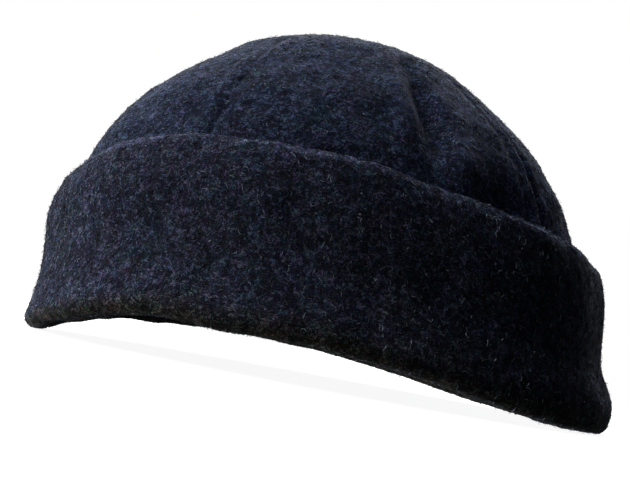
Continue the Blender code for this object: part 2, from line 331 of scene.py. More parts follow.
# %% Lumps
def wave_field(seed, count, shortest, longest):
    """A function of place: the sum of sine waves in random directions, with a spread of about 1."""
    draw = np.random.default_rng(seed)
    direction = draw.normal(size=(count, 3))
    direction /= np.linalg.norm(direction, axis=1, keepdims=True)
    vectors = direction * (2 * math.pi / draw.uniform(shortest, longest, count))[:, None]
    phase = draw.uniform(0, 2 * math.pi, count)
    return lambda points: np.sin(points @ vectors.T + phase).sum(-1) / math.sqrt(count / 2)


BROAD_LUMPS = 0.00016
FINE_LUMPS = 0.00007
PULL_VARIES = 0.35   # how unevenly a seam pulls the felt in
broad_field = wave_field(seed=11, count=28, shortest=0.010, longest=0.026)
pull_field = wave_field(seed=13, count=24, shortest=0.006, longest=0.018)
fine_field = wave_field(seed=12, count=36, shortest=0.0030, longest=0.0070)


def lumps(points):
    """How far the felt stands out at each point: broad soft lumps and fine ones."""
    return BROAD_LUMPS * broad_field(points) + FINE_LUMPS * fine_field(points)


print("lumps of about", 1000 * (BROAD_LUMPS + FINE_LUMPS), "mm")

# %% [markdown]
# ## Meshes from grids
# Each piece of felt is a closed skin: the outer face, the inner face and the cut edge between them.
# Each face's place on the map is its place in the grid, so a finish can be baked on it with little
# stretching. A gore has its outside on the left half of the map and its inside on the right.

# %% Mesh helpers
MAP_NAME = "OFBake"
MAP_MARGIN = 0.01         # round the parts of a map
FACE_MAP = (0.47, 0.93)   # width and height of a gore's face on its map
INSIDE_MAP = (0.5, 0.0)   # the inner face lies this far over from the outer one
EDGE_MAP = (0.96, 0.99)   # a gore's cut edge lies between these heights of its map
SHARP_ANGLE = math.radians(60)


def signed_volume(points, quads):
    """The volume inside: a corner times the cross product of two more, for both halves of each face.

    Each such product is six times a tetrahedron that reaches from the origin, so their sum is
    divided by six. It is negative where the faces look inwards."""
    a, b, c, d = (points[quads[:, k]] for k in range(4))
    return (np.einsum("ij,ij->i", a, np.cross(b, c)) + np.einsum("ij,ij->i", a, np.cross(c, d))).sum() / 6


def quad_grid(index):
    """Faces between the neighbours of a grid of vertex numbers."""
    return np.stack([index[:-1, :-1], index[:-1, 1:], index[1:, 1:], index[1:, :-1]], -1).reshape(-1, 4)


def felt_object(name, points, quads, chart):
    """A mesh object from points, four-sided faces and the map places of their corners."""
    if signed_volume(points, quads) < 0:
        quads, chart = quads[:, ::-1], chart[:, ::-1]
    mesh = bpy.data.meshes.new(name)
    mesh.from_pydata(points.tolist(), [], quads.tolist())
    mesh.uv_layers.new(name=MAP_NAME).data.foreach_set("uv", np.ascontiguousarray(chart).ravel())
    mesh.shade_smooth()
    mesh.set_sharp_from_angle(angle=SHARP_ANGLE)
    made = place_object(name, mesh)
    print(name, len(quads) * 2, "triangles,", round(1e6 * abs(signed_volume(points, quads)), 1), "cm3")
    return made


def point_values(made, name, values):
    """Keep one number for each vertex, for the finish to read."""
    made.data.attributes.new(name, "FLOAT", "POINT").data.foreach_set("value", values.astype(np.float32))


# %% [markdown]
# ## The crown's gores
# A dome can't be cut from flat felt in one piece, so it is sewn from four gores. Each gore here is a
# grid: rows go up the dome and columns go across from seam to seam, closer together beside the seams,
# where the felt is pulled in by the sewing and stands up between the seam and its topstitching.


# %% The dome
def arch_height(angle):
    """Height of the rim's arches: a cosine from their highest place down to the floor."""
    past_top = np.degrees(np.abs(turn_between(angle, 0.0))) - RIM_ARCH["highest"]
    span = np.where(past_top > 0, RIM_ARCH["front span"], RIM_ARCH["back span"])
    lift = np.where(turn_between(angle, 0.0) > 0, RIGHT_LIFT, LEFT_LIFT)
    return lift * (1 + np.cos(math.pi * np.clip(np.abs(past_top) / span, 0, 1))) / 2


def width_at(share):
    """The dome's width at a share of its height, read by the height's arcsine, which rounds the top."""
    return smooth_rows(np.arcsin(share), np.arcsin(CROWN_SECTIONS[:, 0]), CROWN_SECTIONS[:, 1])


def dome(angle, height):
    """The crown's plain outer face: an oval whose width is read at its height, leaning at the top."""
    share = np.clip(height / CROWN_HEIGHT, 0, 1)
    width = width_at(share)
    lean = share ** LEAN_POWER
    fall_in = BACK_TAPER * np.sin(math.pi * share) ** 2 * (1 + np.cos(angle)) / 2
    x = (HALF_LENGTH + FELT) * width * np.cos(angle) - CROWN_LEAN_FRONT * lean - fall_in
    y = (HALF_BREADTH + FELT) * width * np.sin(angle) + CROWN_LEAN_SIDE * lean
    return np.stack([x, y, height + 0 * angle], -1)


def dent_depth(angle, share):
    """Sum of the dents: a hump round the oval times a hump up the dome."""
    depth = 0 * angle
    for middle, half_width, height, half_height, deep in DENTS:
        across = bump(turn_between(angle, math.radians(middle)), math.radians(half_width))
        depth = depth + DENT_DEPTH * deep * across * bump(share - height, half_height)
    return depth


def seam_relief(distance, topstitched):
    """Pull-in beside a seam: a groove at it, and on one side topstitching, with a welt between."""
    groove = SEAM_DEPTH * bump(distance, GROOVE_SPREAD)
    stitch = TOPSTITCH_DEPTH * bump(distance - SEAM_ALLOWANCE, STITCH_SPREAD)
    welt = WELT_HEIGHT * bump(distance - WELT_PLACE, WELT_SPREAD)
    return groove + (stitch - welt) * topstitched


def seam_angle(seam, share):
    """A seam's angle: it turns by the square of how far it is up the upper half of the dome."""
    return np.radians(seam[0]) + np.radians(seam[1]) * np.clip((share - 0.5) / 0.5, 0, 1) ** 2


# %% A gore as a grid
HIDDEN_SHARE = 0.17   # the lowest part of a gore's rise, behind the cuff, which needs few rows
HIDDEN_ROWS, SHOWN_ROWS = 6, 96
RISE = np.concatenate([np.linspace(0, HIDDEN_SHARE, HIDDEN_ROWS + 1),
                       np.linspace(HIDDEN_SHARE, 1, SHOWN_ROWS + 1)[1:]])[:, None]
BESIDE = np.array([0, .06, .12, .18, .26, .35, .45, .56, .67, .78, .89, 1, 1.11, 1.23, 1.38, 1.55])
BESIDE *= SEAM_ALLOWANCE         # how far the columns beside a seam are from it
MIDDLE_COLUMNS = 88
FULL_WIDTH = 2.6 * BESIDE[-1]    # a narrower gore has its columns squeezed and its relief weaker
MOST_CLEAR = 0.2                 # half a seam's gap takes at most this share of a gore's width
PULL_LIMITS = (0.2, 1.8)         # least and most share of its relief that a seam has
FADE_POWER = 3                   # how late on the way up the relief fades
PRESS_AND_SHADE_WIDTH = 0.0010   # painted shade, on felt made darker by pressing, reaches this far from a seam
PRESS_AND_SHADE_SHARES = np.array([0.25, 0.45, 1.0, 1.0])   # how dark the painted shade is, for each row of SEAMS
PRESS_AND_SHADE_POWER = 6        # how late on the way up the painted shade of all seams becomes full


def gore_grid(number):
    """Outer and inner faces of a gore, and how dark the painted shade beside its seams is, on felt made
    darker by pressing.

    The outer face is the dome less dents and seam relief, and the inner is a felt's depth in."""
    following = (number + 1) % len(SEAMS)
    first_seam, second_seam = SEAMS[number], SEAMS[following]
    last_height, last_width = CROWN_SECTIONS[-2]
    last_angle = math.pi / 2 - math.asin(last_height)
    top = math.pi / 2 - last_angle * TIP_RADIUS / (last_width * HALF_LENGTH)
    share = np.sin(top * RISE)
    start = seam_angle(first_seam, share)
    end = seam_angle(second_seam, share)
    end = np.where(end < start, end + 2 * math.pi, end)
    width = (end - start) * width_at(share) * (HALF_LENGTH + HALF_BREADTH) / 2
    room = np.maximum(width, FULL_WIDTH)
    near = BESIDE / room
    between = near[:, -1:] + (1 - 2 * near[:, -1:]) * np.linspace(0, 1, MIDDLE_COLUMNS + 1)[1:-1]
    across = np.hstack([near, between, 1 - near[:, ::-1]])
    clear = np.minimum(SEAM_GAP / 2 / np.maximum(width, SEAM_GAP), MOST_CLEAR)
    angle = start + (end - start) * (clear + (1 - 2 * clear) * across)
    foot = np.arcsin((arch_height(angle) + JOIN_HEIGHT + JOIN_GAP) / CROWN_HEIGHT)
    plain = dome(angle, CROWN_HEIGHT * np.sin(foot + (top - foot) * RISE))
    normal = grid_normals(plain)
    dents = dent_depth(angle, plain[..., 2] / CROWN_HEIGHT)
    first = seam_relief(BESIDE, 0) * first_seam[2]
    second = seam_relief(BESIDE, 1)[::-1] * second_seam[2]
    relief = np.hstack([first, np.zeros(MIDDLE_COLUMNS - 1), second])
    pull = np.clip(1 + PULL_VARIES * pull_field(plain), *PULL_LIMITS)
    relief = relief * np.minimum(width / room, 1) * pull * (1 - SEAM_FADE * share ** FADE_POWER)
    outer = plain + normal * (lumps(plain) - dents - relief)[..., None]
    # Painted shade along the seam grooves, on felt made darker by pressing: set for each seam, and full
    # near the top.
    line = bump(BESIDE, PRESS_AND_SHADE_WIDTH)
    dark = PRESS_AND_SHADE_SHARES + (1 - PRESS_AND_SHADE_SHARES) * share ** PRESS_AND_SHADE_POWER
    plain_part = np.zeros((len(share), MIDDLE_COLUMNS - 1))
    press_and_shade = np.hstack([dark[:, [number]] * line, plain_part, dark[:, [following]] * line[::-1]])
    press_and_shade *= np.minimum(pull, 1)
    return outer, plain - normal * (dents + FELT)[..., None], press_and_shade


def gore_object(name, outer, inner):
    """Close a gore: outer face, inner face, and the cut edge all round between their borders."""
    rows, columns = outer.shape[:2]
    index = np.arange(rows * columns).reshape(rows, columns)
    face = quad_grid(index)
    border = np.concatenate([index[0, :-1], index[:-1, -1], index[-1, :0:-1], index[:0:-1, 0]])
    ahead = np.roll(border, -1)
    edge = np.stack([ahead, border, border + index.size, ahead + index.size], -1)
    across, upward = np.meshgrid(np.linspace(0, 1, columns), np.linspace(0, 1, rows))
    flat = np.stack([across.ravel() * FACE_MAP[0], upward.ravel() * FACE_MAP[1]], -1) + MAP_MARGIN
    along = np.linspace(MAP_MARGIN, 1 - MAP_MARGIN, len(border) + 1)
    strip = np.stack([along[1:], along[:-1], along[:-1], along[1:]], -1)
    strip = np.stack([strip, np.broadcast_to(np.repeat(EDGE_MAP, 2), strip.shape)], -1)
    quads = np.concatenate([face, face[:, ::-1] + index.size, edge])
    chart = np.concatenate([flat[face], flat[face[:, ::-1]] + INSIDE_MAP, strip])
    return felt_object(name, np.concatenate([outer.reshape(-1, 3), inner.reshape(-1, 3)]), quads, chart)


middle = np.array(HEAD_MIDDLE)
gores, gore_faces = [], []
for number in range(len(SEAMS)):
    outer, inner, press_and_shade = gore_grid(number)
    gores.append(gore_object(f"crown_panel_{number + 1}_felt", outer + middle, inner + middle))
    # The painted shade beside the seams, on the outer face only.
    point_values(gores[-1], "press_and_shade", np.concatenate([press_and_shade.ravel(), np.zeros(inner[..., 0].size)]))
    gore_faces.append(outer + middle)

# %% [markdown]
# ## The cuff
# The cuff is one strip of felt whose section is carried round the head oval. The section starts at
# the crown's lower edge, goes down the inside, turns over the soft roll and climbs the outside, where
# the air behind it is read from its table. The outside has close rows and the hidden side few.


# %% The cuff's section
SHOULDER = 0.0055       # the top edge rounds off over this height
SHOULDER_END = 0.30     # share of the felt's thickness left at the very top
TIP_TURN = 70.0         # degrees that the top edge's tip is rounded by to each side
TIP_POINTS = 5
CORNER_SHARE = 0.45     # a corner's outer radius is at most this share of the roll's width
CLIMB_POWER = 0.8       # rows up the outside are closest at the top edge, and below 1 spreads the lowest
# steps down the inside, round each corner of the roll, and up the outside
HIDDEN_STEPS = (3, 4, 16)
SHOWN_STEPS = (6, 8, 62)


def wave(angle, column):
    """The cuff's waves at an angle: the sum of a soft hump for each row of their table."""
    total = 0 * angle
    for row in WAVES:
        total = total + CUFF_WAVE * row[column] * bump(turn_between(angle, math.radians(row[0])),
                                                       math.radians(row[1]))
    return total


def section_line(angle, leg_down, arc_steps, leg_up):
    """Middle of the felt across and up, from the crown's edge down, round the roll and up outside.

    The corners are quarter circles. Outside, the line keeps the table's air from the dome."""
    rim = np.maximum(arch_height(angle) + wave(angle, RIM), 0)
    gap = around(angle, *CUFF_GAP)
    gap_rows = np.stack([around(angle, *row[1:]) for row in CUFF_SECTIONS])
    height = around(angle, *CUFF_HEIGHT) + wave(angle, EDGE) - wave(angle, RIM)
    half = FELT / 2
    corner = np.minimum(ROLL_RADIUS, CORNER_SHARE * (2 * FELT + gap)) - half
    arc = np.linspace(0, math.pi / 2, arc_steps + 1)[:, None]
    first = (half + corner) / height
    top = 1 - half * SHOULDER_END / height
    climb = np.sin(math.pi / 2 * np.linspace(0, 1, leg_up + 1)[1:, None]) ** CLIMB_POWER
    share = first + (top - first) * climb
    away = outward(angle)
    fall = ((dome(angle + 0 * share, rim + share * height) - dome(angle[None], rim[None])) * away).sum(-1)
    start_short = 1 - smooth_rows(first[None], CUFF_SECTIONS[:, 0], gap_rows)
    fade = np.exp(-(share - first) * height / (2 * FELT))
    room = smooth_rows(share, CUFF_SECTIONS[:, 0], gap_rows) + start_short * fade
    climb_x = half + FELT + gap * room + fall + wave(angle, LEAN) * share
    join = arch_height(angle) + JOIN_HEIGHT - rim
    down_z = join + (half + corner - join) * np.linspace(0, 1, leg_down + 1)[:-1, None]
    x = np.concatenate([half + 0 * down_z, half + corner * (1 - np.cos(arc)),
                        half + FELT + gap - corner * (1 - np.sin(arc)), climb_x])
    z = np.concatenate([down_z, half + corner * (1 - np.sin(arc)),
                        half + corner * (1 - np.cos(arc)), share * height])
    return x, z, rim


def felt_side(line, side):
    """The line moved half a felt's thickness to one side; near the top edge the thickness eases off.

    The easing is a quarter ellipse as long as the shoulder, so the edge is soft and catches light."""
    x, z = line[:2]
    into = np.clip(1 - (z[-1] - z) / SHOULDER, 0, 1)
    dx, dz = np.gradient(x, axis=0), np.gradient(z, axis=0)
    dx[0] = 0
    run = np.hypot(dx, dz)
    half = FELT / 2 * np.maximum(np.sqrt(1 - into ** 2), SHOULDER_END)
    return x - side * dz / run * half, z + side * dx / run * half


def cuff_points(angle):
    """The whole section at each angle: hidden side, round top edge, and the side that shows."""
    coarse = section_line(angle, *HIDDEN_STEPS)
    fine = section_line(angle, *SHOWN_STEPS)
    hidden_x, hidden_z = felt_side(coarse, 1)
    shown_x, shown_z = felt_side(fine, -1)
    x, z = fine[:2]
    turns = np.radians(np.linspace(TIP_TURN, -TIP_TURN, TIP_POINTS))[:, None]
    tip = np.arctan2(z[-1] - z[-2], x[-1] - x[-2]) + turns
    end = FELT / 2 * SHOULDER_END
    loop_x = np.concatenate([hidden_x, x[-1] + end * np.cos(tip), shown_x[::-1]])
    loop_z = np.concatenate([hidden_z, z[-1] + end * np.sin(tip), shown_z[::-1]])
    oval = np.stack([HALF_LENGTH * np.cos(angle), HALF_BREADTH * np.sin(angle), fine[2]], -1)
    upward = np.array([0, 0, 1.0])
    return oval + loop_x[..., None] * outward(angle) + loop_z[..., None] * upward, len(hidden_x)


# %% The cuff's mesh
CUFF_COLUMNS = 520
angle = np.linspace(0, 2 * math.pi, CUFF_COLUMNS, endpoint=False)
cuff_grid, shown_from = cuff_points(angle)
cuff_normal = np.cross(np.roll(cuff_grid, -1, 1) - np.roll(cuff_grid, 1, 1),
                       np.roll(cuff_grid, -1, 0) - np.roll(cuff_grid, 1, 0))
cuff_normal /= np.linalg.norm(cuff_normal, axis=-1, keepdims=True)
half_way_down = shown_from + TIP_POINTS + SHOWN_STEPS[2] // 2
if (cuff_normal[half_way_down] * outward(angle)).sum() < 0:
    cuff_normal = -cuff_normal
cuff_grid = cuff_grid + cuff_normal * lumps(cuff_grid)[..., None]
cuff_grid[..., 2] = np.maximum(cuff_grid[..., 2], 0)
cuff_grid = cuff_grid + middle
points, columns = cuff_grid.shape[:2]
index = np.arange(points * columns).reshape(points, columns)
wrapped = np.vstack([index, index[:1]])
wrapped = np.hstack([wrapped, wrapped[:, :1]])
across, upward = np.meshgrid(*(np.linspace(MAP_MARGIN, 1 - MAP_MARGIN, n + 1) for n in (columns, points)))
places = np.stack([across.ravel(), upward.ravel()], -1)
cuff = felt_object("cuff_felt", cuff_grid.reshape(-1, 3), quad_grid(wrapped),
                   places[quad_grid(np.arange(across.size).reshape(across.shape))])

# %% [markdown]
# ## The felt's finish
# The wool was dyed in several shades before it was pressed: nearly black, slate blue, and a little
# brown, purple and pale grey. At arm's length this shows as mottling and as short pale strokes, each
# one a bundle of fibres. Noise makes the mottling. Noise that is stretched along one direction makes
# strokes, so several layers are stretched along different directions and laid over each other.

# %% Felt material
STROKE_TURNS = [
    # turns of each layer of strokes about X, Y and Z (degrees)
    (0, 0, 8),
    (0, 12, -14),
    (0, 0, 68),
    (0, 50, 20),
    (0, -42, -40),
    (70, 20, 130),
    (20, -70, 75),
]
STROKE_LENGTH, STROKE_WIDTH = 0.0026, 0.00056
TONE_LAYERS = [
    # noise scale (per metre), detail, gain: how strongly it moves the tone
    (75.0, 1.0, 0.18),
    (190.0, 1.0, 0.50),
    (430.0, 1.4, 1.10),
]
STROKE_GAIN = 0.66
STROKE_DISTORTION = 1.3
STROKE_CUT = (0.64, 0.80)   # noise below the first is no stroke, and above the second a full one
STROKE_SHIFT = (0.013, 0.003)   # each layer starts this much further along X and Z
STROKE_START = 0.007            # and all start from here along Y
TONE_DISTORTION = 0.7
TONE_MIDDLE = 0.33
WOOL_TONES = [
    # tone, colour: shares of the felt's shade
    (0.00, (0.80, 0.82, 1.06)),
    (0.25, (1.04, 1.12, 1.52)),
    (0.45, (1.45, 1.63, 2.25)),
    (0.60, (2.05, 2.42, 3.35)),
    (0.78, (4.10, 4.90, 6.80)),
    (1.00, (12.5, 14.0, 18.0)),
]
DYES = [
    # noise scale (per metre), how far red, green and blue go their own ways
    (520.0, (1.3, 1.0, 0.6)),
    (80.0, (0.40, 0.25, 0.34)),
]
# Marks on the felt, each from a point attribute: painted shade along the seam grooves, wear with painted
# light on the cuff's top edge and brow roll, and brown soil on the roll.
WEAR_AND_PAINTED_LIGHT = [
    # point attribute, what it multiplies red, green and blue by
    ("press_and_shade", (0.20, 0.20, 0.23, 1.0)),
    ("edge_wear_and_light", (1.85, 1.90, 1.95, 1.0)),
    ("soiled", (1.05, 0.86, 0.42, 1.0)),
]
FELT_SURFACE = {"Roughness": 0.95, "Specular IOR Level": 0.08, "Sheen Weight": 0.07,
                "Sheen Roughness": 0.35, "Sheen Tint": (0.42, 0.50, 0.70, 1.0)}
FELT_BUMP = {"Strength": 0.15, "Distance": 0.0005}


def ramp(tree, value, stops):
    """A colour ramp through (place, colour) stops."""
    made = add_node(tree, "ShaderNodeValToRGB", {"Fac": value})
    band = made.color_ramp.elements
    while len(band) < len(stops):
        band.new(0.5)
    for element, (place, colour) in zip(band, stops):
        element.position = place
        element.color = (*colour, 1.0)
    return made.outputs["Color"]


def mix(tree, factor, first, second, kind="MIX"):
    """Two colours mixed by a factor. Sockets 6 and 7 take the colours, and output 2 gives one."""
    return add_node(tree, "ShaderNodeMix", {"Factor": factor, 6: first, 7: second},
                    data_type="RGBA", blend_type=kind).outputs[2]


def add_scaled(tree, value, gain, total):
    """A running total plus gain times a value."""
    return add_node(tree, "ShaderNodeMath", {0: value, 1: gain, 2: total},
                    operation="MULTIPLY_ADD").outputs[0]


def stroke_layers(tree, place):
    """The lightest of all layers: each is noise stretched along its own direction, cut to strokes."""
    lightest = 0.0
    for number, turn in enumerate(STROKE_TURNS):
        mapped = add_node(tree, "ShaderNodeMapping", {
            "Vector": place, "Rotation": [math.radians(a) for a in turn],
            "Scale": (STROKE_LENGTH, STROKE_WIDTH, STROKE_WIDTH),
            "Location": (STROKE_SHIFT[0] * number, STROKE_START, STROKE_SHIFT[1] * number)},
            vector_type="TEXTURE")
        noise = add_node(tree, "ShaderNodeTexNoise", {
            "Vector": mapped.outputs[0], "Scale": 1.0, "Detail": 0.0, "Distortion": STROKE_DISTORTION})
        cut = add_node(tree, "ShaderNodeMapRange", {
            "Value": noise.outputs[0], "From Min": STROKE_CUT[0], "From Max": STROKE_CUT[1]})
        lightest = add_node(tree, "ShaderNodeMath", {0: lightest, 1: cut.outputs[0]},
                            operation="MAXIMUM").outputs[0]
    return lightest


def felt_finish(name, shade, tint):
    """Mottled wool felt: a tone made of noise and strokes is read from a ramp of the wool's shades."""
    material, tree, shader = new_material(name, FELT_SURFACE)
    place = add_node(tree, "ShaderNodeTexCoord").outputs["Object"]
    strokes = stroke_layers(tree, place)
    tone = TONE_MIDDLE - sum(gain for _, _, gain in TONE_LAYERS) / 2
    for scale, detail, gain in TONE_LAYERS:
        noise = add_node(tree, "ShaderNodeTexNoise", {
            "Vector": place, "Scale": scale, "Detail": detail, "Distortion": TONE_DISTORTION})
        tone = add_scaled(tree, noise.outputs[0], gain, tone)
    tone = add_scaled(tree, strokes, STROKE_GAIN, tone)
    wool = ramp(tree, tone, [(at, tuple(shade * t * c for t, c in zip(tint, colour)))
                             for at, colour in WOOL_TONES])
    for scale, gains in DYES:
        dyes = add_node(tree, "ShaderNodeTexNoise", {"Vector": place, "Scale": scale, "Detail": 1.0})
        dyed = add_node(tree, "ShaderNodeVectorMath", {
            0: dyes.outputs["Color"], 1: gains, 2: [1 - gain / 2 for gain in gains]},
            operation="MULTIPLY_ADD")
        wool = mix(tree, 1.0, wool, dyed.outputs[0], "MULTIPLY")
    # Each mark multiplies the wool's colour where its attribute is set: painted shade and light, wear and
    # soil.
    for attribute, change in WEAR_AND_PAINTED_LIGHT:
        mark_share = add_node(tree, "ShaderNodeAttribute", attribute_name=attribute).outputs["Fac"]
        wool = mix(tree, mark_share, wool, mix(tree, 1.0, wool, change, "MULTIPLY"))
    tree.links.new(wool, shader.inputs["Base Color"])
    raised = add_node(tree, "ShaderNodeBump", {"Height": tone, **FELT_BUMP})
    tree.links.new(raised.outputs[0], shader.inputs["Normal"])
    material.diffuse_color = (*(shade * t for t in tint), 1)
    return material


crown_wool = felt_finish("crown_wool", shade=0.0148, tint=(0.92, 1.09, 1.57))
cuff_wool = felt_finish("cuff_wool", shade=0.0154, tint=(0.98, 1.01, 1.29))
for gore in gores:
    gore.data.materials.append(crown_wool)
cuff.data.materials.append(cuff_wool)
print("finishes:", crown_wool.name, "and", cuff_wool.name, "with", len(STROKE_TURNS), "layers of strokes")

# %% Wear, soil and painted light on the cuff
EDGE_WEAR_AND_HIGHLIGHT_HEIGHT = 0.0060    # the top edge gets wear and a painted highlight, down to about this far below it
BROW_TURN, BROW_SPREAD, BROW_HEIGHT = -165.0, 32.0, 0.0070   # and the roll over the brow gets wear and painted light, as from the table's bounce
SOILED_HEIGHT = (0.0045, 0.0095, 0.0110)   # the roll is browned up to here: front, sides and back
SOILED_FULL = 0.0015      # and browned in full up to here
below_edge = cuff_grid[..., 2].max(axis=0) - cuff_grid[..., 2]
above_rim = cuff_grid[..., 2] - np.maximum(arch_height(angle) + wave(angle, RIM), 0)
brow = bump(turn_between(angle, math.radians(BROW_TURN)), math.radians(BROW_SPREAD))
# Paler top edge and brow roll: wear, with a painted highlight on the edge and painted light from below on
# the brow's roll.
edge_wear_and_light = np.maximum(bump(below_edge, EDGE_WEAR_AND_HIGHLIGHT_HEIGHT / 2), brow * bump(above_rim, BROW_HEIGHT))
soiled_height = around(angle, *SOILED_HEIGHT)
soiled = np.clip((soiled_height - above_rim) / (soiled_height - SOILED_FULL), 0, 1)
point_values(cuff, "edge_wear_and_light", edge_wear_and_light.ravel())
point_values(cuff, "soiled", soiled.ravel())
print("share of the cuff's points that is browned:", round(float((soiled > 0).mean()), 2))

# %% [markdown]
# ## Loose fibres
# Felt is blurred by a nap of loose fibres. Each one here is a thin closed tube of 18 triangles round
# a short curl: five points that turn steadily in the plane of the felt, lifted a little in the middle,
# with a point at both ends. They are scattered evenly by area, worked out all together, and joined in
# a few big pieces.

# %% Fibre shapes
FIBRES_A_PIECE = 11000
CROWN_EXTRA = 4400   # a second, thinner scatter on the crown, which is the larger
CURL_POINTS = 5      # along each fibre: its two tips and the middles of three rings
RING = np.radians([90, 210, 330])   # where the three points of a ring stand round it
TUBE_POINTS = 11     # two tips and three rings of three
SINK = 0.00006       # a fibre is sunk this far in the felt before it is lifted
FLOOR_CLEAR = 0.00005   # no fibre comes closer to the floor
CELL_MARGIN = 0.1    # round a fibre, in its cell of the map


def scatter(grids, count, draw):
    """Places and normals on grids of points: faces are drawn by their area, then a spot in each."""
    corners, area = [], []
    for grid in grids:
        a, b, c, d = grid[:-1, :-1], grid[:-1, 1:], grid[1:, 1:], grid[1:, :-1]
        area.append(np.linalg.norm(np.cross(c - a, d - b), axis=-1).ravel() / 2)
        corners.append(np.stack([a, b, c, d], 2).reshape(-1, 4, 3))
    corners, area = np.concatenate(corners), np.concatenate(area)
    chosen = corners[draw.choice(len(area), count, p=area / area.sum())]
    u, v = draw.random((2, count, 1))
    place = ((1 - u) * (1 - v) * chosen[:, 0] + u * (1 - v) * chosen[:, 1]
             + u * v * chosen[:, 2] + (1 - u) * v * chosen[:, 3])
    normal = np.cross(chosen[:, 2] - chosen[:, 0], chosen[:, 3] - chosen[:, 1])
    return place, normal / np.linalg.norm(normal, axis=1, keepdims=True), area.sum()


def curls(place, normal, side, length, heading, lift, stand):
    """Five points of each fibre: steps along headings measured from its side, and then it is lifted.

    lift raises the middle by a sine, and stand raises the far end by the square of the way."""
    side = side - (side * normal).sum(-1, keepdims=True) * normal
    side /= np.linalg.norm(side, axis=1, keepdims=True)
    other = np.cross(normal, side)
    way = np.linspace(0, 1, CURL_POINTS)
    step = (np.cos(heading)[..., None] * side[:, None] + np.sin(heading)[..., None] * other[:, None])
    step *= length[:, None, None] / (CURL_POINTS - 1)
    path = np.cumsum(step, axis=1)
    path -= path.mean(axis=1, keepdims=True)
    height = lift[:, None] * np.sin(math.pi * way) - SINK + stand[:, None] * way ** 2
    return place[:, None] + path + height[..., None] * normal[:, None]


def tube_pattern():
    """Triangles of one fibre, and each corner's way along and round it. Vertices: tip, 3 rings, tip."""
    faces, chart = [], []
    for k in range(3):
        j = (k + 1) % 3
        faces += [(0, 1 + j, 1 + k), (10, 7 + k, 7 + j)]
        chart += [((0, k + 0.5), (1, k + 1), (1, k)), ((4, k + 0.5), (3, k), (3, k + 1))]
        for ring in (0, 1):
            a, b = 1 + 3 * ring + k, 1 + 3 * ring + j
            faces += [(a, b, b + 3), (a, b + 3, a + 3)]
            chart += [((ring + 1, k), (ring + 1, k + 1), (ring + 2, k + 1)),
                      ((ring + 1, k), (ring + 2, k + 1), (ring + 2, k))]
    return np.array(faces), np.array(chart) / (4.0, 3.0)


def fibre_object(name, paths, normal, radius, tone, material):
    """Join all fibres in one mesh: rings of three points stand across each path."""
    along = paths[:, 2:] - paths[:, :-2]
    along /= np.linalg.norm(along, axis=-1, keepdims=True)
    over = np.cross(along, normal[:, None])
    over /= np.maximum(np.linalg.norm(over, axis=-1, keepdims=True), 1e-9)
    upward = np.cross(over, along)
    ring = (np.cos(RING)[:, None] * over[:, :, None] + np.sin(RING)[:, None] * upward[:, :, None])
    rings = paths[:, 1:4, None] + radius[:, None, None, None] * ring
    points = np.concatenate([paths[:, :1], rings.reshape(len(paths), 9, 3), paths[:, 4:]], 1)
    points[..., 2] = np.maximum(points[..., 2], FLOOR_CLEAR)
    pattern, corner = tube_pattern()
    count = len(paths)
    faces = (pattern[None] + TUBE_POINTS * np.arange(count)[:, None, None]).reshape(-1, 3)
    cells = math.ceil(math.sqrt(count))
    cell = np.stack([np.arange(count) % cells, np.arange(count) // cells], -1)[:, None, None]
    chart = (cell + CELL_MARGIN + (1 - 2 * CELL_MARGIN) * corner[None]) / cells
    mesh = bpy.data.meshes.new(name)
    mesh.from_pydata(points.reshape(-1, 3).tolist(), [], faces.tolist())
    mesh.uv_layers.new(name=MAP_NAME).data.foreach_set("uv", chart.ravel())
    mesh.shade_smooth()
    mesh.materials.append(material)
    made = place_object(name, mesh)
    point_values(made, "tone", np.repeat(tone, TUBE_POINTS))
    print(name, count, "fibres,", len(faces), "triangles")
    return made


# %% Fibre finish
FIBRE_TONES = [
    # tone, colour: shares of the fibres' shade
    (0.00, (0.35, 0.37, 0.45)),
    (0.35, (0.75, 0.85, 1.15)),
    (0.58, (1.80, 2.10, 3.00)),
    (0.66, (3.00, 2.50, 2.10)),
    (0.74, (2.40, 3.60, 4.60)),
    (0.82, (4.40, 5.20, 7.40)),
    (0.92, (9.50, 11.0, 15.0)),
    (1.00, (28.0, 32.0, 40.0)),
]
FIBRE_SURFACE = {"Roughness": 0.75, "Specular IOR Level": 0.25, "Sheen Weight": 0.2}


def fibre_finish(name, shade):
    """One dyed fibre is one colour: its tone picks it from a ramp of the wool's shades."""
    material, tree, shader = new_material(name, FIBRE_SURFACE)
    tone = add_node(tree, "ShaderNodeAttribute", attribute_name="tone").outputs["Fac"]
    stops = [(place, tuple(shade * c for c in colour)) for place, colour in FIBRE_TONES]
    tree.links.new(ramp(tree, tone, stops), shader.inputs["Base Color"])
    return material


fibre_wool = fibre_finish("fibre_wool", shade=0.0205)

# %% Fibres on crown and cuff
LONGEST, SHORTEST = 0.0038, 0.0010
GROWTH = (0.65, 0.42)    # middle and spread of the logarithm of a length over the shortest
CURL_SPREAD = 2.8        # radians that a fibre turns by from end to end
WANDER = 0.5             # radians that each step strays from its curl
LIFT = (0.00006, 0.00028)     # least and most that a fibre's middle is raised
STANDING_SHARE = 0.16
STAND = (0.0003, 0.0011)      # least and most that a standing fibre's end is raised
RADIUS = (0.000045, 0.000100)
BRIGHT_FROM = 0.86       # fibres of a paler tone than this are thicker too
BRIGHT_EXTRA = 0.00006   # by up to this
HIDDEN_BELOW = 0.050     # the crown's rows below this height are behind the cuff

crown_skins = [face[np.median(face[..., 2], axis=1) > HIDDEN_BELOW] for face in gore_faces]
last_shown = shown_from + TIP_POINTS + SHOWN_STEPS[2] + 2 * (SHOWN_STEPS[1] + 1)
cuff_skin = np.concatenate([cuff_grid, cuff_grid[:, :1]], 1)[shown_from:last_shown][::-1]


